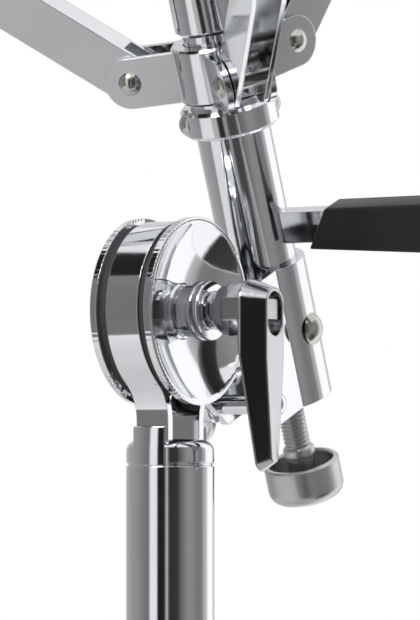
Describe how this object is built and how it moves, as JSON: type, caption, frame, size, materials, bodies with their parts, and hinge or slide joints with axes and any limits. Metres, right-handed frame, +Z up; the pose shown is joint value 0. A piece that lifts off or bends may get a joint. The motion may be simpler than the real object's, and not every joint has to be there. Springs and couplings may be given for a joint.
{
  "type": "snare drum stand",
  "caption": "Folding snare drum stand: tripod, telescopic post, strap tilter with wing lever, and a basket of struts and clawed arms closed by a screw knob.",
  "frame": {"origin": "on the floor under the post's axis", "axes": "+Z up along the post, +X along the tilter axle towards the wing lever, +Y towards the basket tube"},
  "size_m": [0.4776, 0.4135, 0.7294],
  "materials": {
    "chrome": "polished",
    "rubber": "matt",
    "cast": "plated casting",
    "nickel": "nickel plated",
    "satin": "satin",
    "nylon": "matt",
    "lining": "fibre"
  },
  "bodies": {
    "base": {"base_tube": "chrome", "base_cap": "nylon", "brace_hub": "cast", "brace_pins": "nickel", "height_clamp": "cast", "height_bush": "nylon"},
    "leg_collar": {"leg_collar": "cast", "leg_pins": "nickel"},
    "collar_bolt": {"collar_wing_bolt": "chrome"},
    "height_bolt": {"height_wing_bolt": "chrome"},
    "post_slide": {"post_guide": "nylon"},
    "post": {"post_tube": "chrome", "post_plug": "chrome", "tilter_strap": "chrome", "strap_pin": "nickel", "memory_collar": "cast", "memory_screw": "nickel"},
    "tilter": {"tilter_yoke": "chrome", "friction_rings": "lining", "brake_ring": "lining", "axle_bolt": "chrome", "thrust_boss": "chrome", "spring_washers": "chrome", "clamp_bolt": "chrome", "basket_tube": "chrome", "yoke_rivets": "nickel", "screw_bush": "satin", "ring_collar": "chrome", "collar_rivets": "nickel", "grip_bar": "chrome", "grip_sleeve": "rubber", "strut_hub": "chrome", "strut_pins": "nickel"},
    "lever": {"wing_lever": "chrome", "lever_key_screw": "nickel"},
    "clamp_nut": {"clamp_wing_nut": "chrome"},
    "carrier": {"top_sleeve": "chrome", "arm_hub": "chrome", "arm_pins": "nickel"},
    "adjuster": {"adjuster_rod": "satin", "adjuster_knob": "satin"},
    "brace_1": {"brace_1": "chrome"},
    "leg_1": {"leg_1": "chrome", "foot_1": "rubber"},
    "brace_2": {"brace_2": "chrome"},
    "leg_2": {"leg_2": "chrome", "foot_2": "rubber"},
    "brace_3": {"brace_3": "chrome"},
    "leg_3": {"leg_3": "chrome", "foot_3": "rubber"},
    "strut_1": {"strut_1": "chrome"},
    "arm_1": {"arm_1": "chrome", "arm_jacket_1": "rubber"},
    "strut_2": {"strut_2": "chrome"},
    "arm_2": {"arm_2": "chrome", "arm_jacket_2": "rubber"},
    "strut_3": {"strut_3": "chrome"},
    "arm_3": {"arm_3": "chrome", "arm_jacket_3": "rubber"}
  },
  "joints": [
    {"name": "brace_fold_1", "type": "hinge", "parent": "base", "child": "brace_1", "pos_m": [0, 0.032, 0.03986], "axis": [1, 0, 0], "range_deg": [0, 42]},
    {"name": "leg_fold_1", "type": "hinge", "parent": "brace_1", "child": "leg_1", "pos_m": [0, 0.1305, 0.11682], "axis": [1, 0, 0], "range_deg": [-84, 0]},
    {"name": "collar_carry", "type": "hinge", "parent": "leg_1", "child": "leg_collar", "pos_m": [0, 0.032, 0.19377], "axis": [1, 0, 0], "range_deg": [0, 42]},
    {"name": "brace_fold_2", "type": "hinge", "parent": "base", "child": "brace_2", "pos_m": [-0.02771, -0.016, 0.03986], "axis": [-0.5, 0.866, 0], "range_deg": [0, 42]},
    {"name": "leg_fold_2", "type": "hinge", "parent": "brace_2", "child": "leg_2", "pos_m": [-0.11302, -0.06525, 0.11682], "axis": [-0.5, 0.866, 0], "range_deg": [-84, 0]},
    {"name": "brace_fold_3", "type": "hinge", "parent": "base", "child": "brace_3", "pos_m": [0.02771, -0.016, 0.03986], "axis": [-0.5, -0.866, 0], "range_deg": [0, 42]},
    {"name": "leg_fold_3", "type": "hinge", "parent": "brace_3", "child": "leg_3", "pos_m": [0.11302, -0.06525, 0.11682], "axis": [-0.5, -0.866, 0], "range_deg": [-84, 0]},
    {"name": "collar_bolt_turn", "type": "hinge", "parent": "leg_collar", "child": "collar_bolt", "pos_m": [0, -0.03, 0.19377], "axis": [0, -1, 0], "continuous": true},
    {"name": "height_bolt_turn", "type": "hinge", "parent": "base", "child": "height_bolt", "pos_m": [0.0093, -0.031, 0.319], "axis": [1, 0, 0], "continuous": true},
    {"name": "post_height", "type": "slide", "parent": "base", "child": "post_slide", "axis": [0, 0, 1], "range_m": [0, 0.1]},
    {"name": "post_swivel", "type": "hinge", "parent": "post_slide", "child": "post", "pos_m": [0, 0, 0.2], "axis": [0, 0, 1], "continuous": true},
    {"name": "tilt", "type": "hinge", "parent": "post", "child": "tilter", "pos_m": [0, 0, 0.48], "axis": [1, 0, 0], "range_deg": [-25, 55]},
    {"name": "lever_turn", "type": "hinge", "parent": "tilter", "child": "lever", "pos_m": [0.02, 0, 0.48], "axis": [1, 0, 0], "continuous": true},
    {"name": "clamp_nut_turn", "type": "hinge", "parent": "tilter", "child": "clamp_nut", "pos_m": [-0.014, 0.0428, 0.45415], "axis": [1, 0, 0], "continuous": true},
    {"name": "basket_adjust", "type": "slide", "parent": "tilter", "child": "carrier", "axis": [0, -0.3746, 0.9272], "range_m": [-0.002, 0.014]},
    {"name": "knob_turn", "type": "hinge", "parent": "carrier", "child": "adjuster", "pos_m": [0, 0.04914, 0.49985], "axis": [0, -0.3746, 0.9272], "range_deg": [-580, 4040]},
    {"name": "strut_swing_1", "type": "hinge", "parent": "tilter", "child": "strut_1", "pos_m": [-0.02511, 0.02136, 0.55065], "axis": [-0.2588, 0.8956, 0.3618], "range_deg": [-3, 1]},
    {"name": "arm_swing_1", "type": "hinge", "parent": "carrier", "child": "arm_1", "pos_m": [-0.02125, 0.00915, 0.58362], "axis": [-0.2588, 0.8956, 0.3618], "range_deg": [-15, 3]},
    {"name": "strut_swing_2", "type": "hinge", "parent": "tilter", "child": "strut_2", "pos_m": [0.01838, 0.01056, 0.54628], "axis": [-0.7071, -0.6556, -0.2649], "range_deg": [-3, 1]},
    {"name": "arm_swing_2", "type": "hinge", "parent": "carrier", "child": "arm_2", "pos_m": [0.01556, 0.00001, 0.57993], "axis": [-0.7071, -0.6556, -0.2649], "range_deg": [-15, 3]},
    {"name": "strut_swing_3", "type": "hinge", "parent": "tilter", "child": "strut_3", "pos_m": [0.00673, 0.05089, 0.56258], "axis": [0.9659, -0.24, -0.097], "range_deg": [-3, 1]},
    {"name": "arm_swing_3", "type": "hinge", "parent": "carrier", "child": "arm_3", "pos_m": [0.00569, 0.03414, 0.59371], "axis": [0.9659, -0.24, -0.097], "range_deg": [-15, 3]}
  ],
  "couplings": [
    {"joint": "leg_fold_1", "follows": "brace_fold_1", "ratio": -2},
    {"joint": "collar_carry", "follows": "brace_fold_1", "ratio": 1},
    {"joint": "brace_fold_2", "follows": "brace_fold_1", "ratio": 1},
    {"joint": "leg_fold_2", "follows": "brace_fold_1", "ratio": -2},
    {"joint": "brace_fold_3", "follows": "brace_fold_1", "ratio": 1},
    {"joint": "leg_fold_3", "follows": "brace_fold_1", "ratio": -2},
    {"joint": "knob_turn", "follows": "basket_adjust", "rad_per_m": 5026.5},
    {"joint": "strut_swing_1", "follows": "basket_adjust", "rad_per_m": -2.4995},
    {"joint": "arm_swing_1", "follows": "basket_adjust", "rad_per_m": -18.335},
    {"joint": "strut_swing_2", "follows": "basket_adjust", "rad_per_m": -2.4995},
    {"joint": "arm_swing_2", "follows": "basket_adjust", "rad_per_m": -18.335},
    {"joint": "strut_swing_3", "follows": "basket_adjust", "rad_per_m": -2.4995},
    {"joint": "arm_swing_3", "follows": "basket_adjust", "rad_per_m": -18.335}
  ]
}
